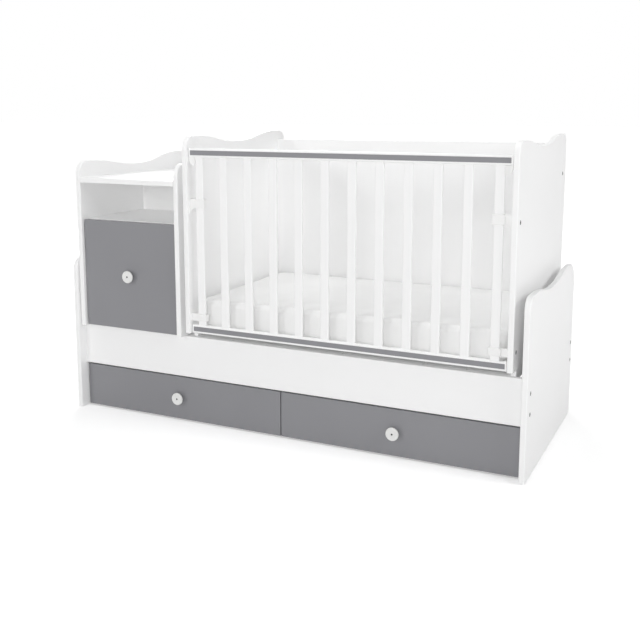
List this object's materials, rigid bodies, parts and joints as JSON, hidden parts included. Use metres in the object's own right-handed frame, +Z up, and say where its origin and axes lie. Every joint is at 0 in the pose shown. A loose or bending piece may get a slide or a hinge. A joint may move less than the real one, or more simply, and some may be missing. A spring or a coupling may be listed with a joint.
{
  "type": "convertible crib",
  "caption": "Convertible crib in white and grey board: slatted crib with a sliding front side and mattress, changing cupboard with a door and niche, and wheeled drawers in the low bed base.",
  "frame": {"origin": "on the floor under the middle of the bed base", "axes": "+X to the right along the length as seen from the front, +Y from the front to the back, +Z up"},
  "size_m": [1.64, 0.708, 1.001],
  "materials": {
    "white_board": "white melamine board, satin",
    "grey_board": "grey melamine board, satin",
    "raw_wood": "bare softwood",
    "white_hardboard": "white-faced thin board",
    "white_plastic": "moulded, satin",
    "dark_steel": "dark, satin",
    "zinc_steel": "zinc plated",
    "wheel_plastic": "moulded, matte",
    "mattress_fabric": "knitted cover"
  },
  "bodies": {
    "frame": {"left_end_panel": "white_board", "right_end_panel": "white_board", "front_rail": "white_board", "back_rail": "white_board", "centre_partition": "white_board", "rail_cleats": "white_board", "bed_slats": "white_board", "rail_bolts": "dark_steel", "floor_glides": "white_plastic", "cupboard_left_side": "white_board", "cupboard_right_side": "white_board", "changing_top": "white_board", "niche_floor": "white_board", "cupboard_back": "white_hardboard", "cupboard_floor": "white_board", "cupboard_shelf": "white_board", "shelf_pins": "zinc_steel", "cupboard_rear_stretchers": "white_board", "hinge_arms": "zinc_steel", "crib_left_end": "white_board", "crib_right_end": "white_board", "crib_back_panel": "white_board", "crib_battens": "white_board", "crib_front_stretcher": "white_board", "mattress_base": "white_hardboard", "mattress": "mattress_fabric", "crib_bearers": "white_board", "crib_dowels": "raw_wood", "upper_guides": "white_plastic", "lower_guides": "white_plastic", "guide_bolts": "dark_steel", "crib_back_bolts": "dark_steel"},
    "cupboard_door": {"cupboard_door": "grey_board", "door_knob": "white_plastic", "door_knob_screw": "dark_steel", "door_hinge_pins": "zinc_steel"},
    "sliding_side": {"side_top_rail": "white_board", "side_bottom_rail": "white_board", "side_slats": "white_board", "side_top_stripe": "grey_board", "side_bottom_stripe": "grey_board", "side_catches": "white_plastic"},
    "left_drawer": {"left_drawer_front": "grey_board", "left_drawer_knob": "white_plastic", "left_drawer_knob_screw": "dark_steel", "left_drawer_sides": "white_board", "left_drawer_back": "white_board", "left_drawer_bottom": "white_hardboard", "left_drawer_wheel_mounts": "zinc_steel"},
    "left_drawer_front_wheels": {"left_drawer_front_wheels": "wheel_plastic"},
    "left_drawer_rear_wheels": {"left_drawer_rear_wheels": "wheel_plastic"},
    "right_drawer": {"right_drawer_front": "grey_board", "right_drawer_knob": "white_plastic", "right_drawer_knob_screw": "dark_steel", "right_drawer_sides": "white_board", "right_drawer_back": "white_board", "right_drawer_bottom": "white_hardboard", "right_drawer_wheel_mounts": "zinc_steel"},
    "right_drawer_front_wheels": {"right_drawer_front_wheels": "wheel_plastic"},
    "right_drawer_rear_wheels": {"right_drawer_rear_wheels": "wheel_plastic"}
  },
  "joints": [
    {"name": "cupboard_door_swing", "type": "hinge", "parent": "frame", "child": "cupboard_door", "pos_m": [-0.769, -0.328, 0.504], "axis": [0, 0, -1], "range_deg": [0, 95]},
    {"name": "sliding_side_drop", "type": "slide", "parent": "frame", "child": "sliding_side", "axis": [0, 0, -1], "range_m": [0, 0.1]},
    {"name": "left_drawer_slide", "type": "slide", "parent": "frame", "child": "left_drawer", "axis": [0, -1, 0], "range_m": [0, 0.4]},
    {"name": "left_drawer_front_wheels_spin", "type": "hinge", "parent": "left_drawer", "child": "left_drawer_front_wheels", "pos_m": [-0.4, -0.228, 0.0144], "axis": [1, 0, 0], "range_deg": [0, 1650]},
    {"name": "left_drawer_rear_wheels_spin", "type": "hinge", "parent": "left_drawer", "child": "left_drawer_rear_wheels", "pos_m": [-0.4, 0.172, 0.0144], "axis": [1, 0, 0], "range_deg": [0, 1650]},
    {"name": "right_drawer_slide", "type": "slide", "parent": "frame", "child": "right_drawer", "axis": [0, -1, 0], "range_m": [0, 0.4]},
    {"name": "right_drawer_front_wheels_spin", "type": "hinge", "parent": "right_drawer", "child": "right_drawer_front_wheels", "pos_m": [0.4, -0.228, 0.0144], "axis": [1, 0, 0], "range_deg": [0, 1650]},
    {"name": "right_drawer_rear_wheels_spin", "type": "hinge", "parent": "right_drawer", "child": "right_drawer_rear_wheels", "pos_m": [0.4, 0.172, 0.0144], "axis": [1, 0, 0], "range_deg": [0, 1650]}
  ],
  "couplings": [
    {"joint": "left_drawer_front_wheels_spin", "follows": "left_drawer_slide", "rad_per_m": 71.429},
    {"joint": "left_drawer_rear_wheels_spin", "follows": "left_drawer_slide", "rad_per_m": 71.429},
    {"joint": "right_drawer_front_wheels_spin", "follows": "right_drawer_slide", "rad_per_m": 71.429},
    {"joint": "right_drawer_rear_wheels_spin", "follows": "right_drawer_slide", "rad_per_m": 71.429}
  ]
}
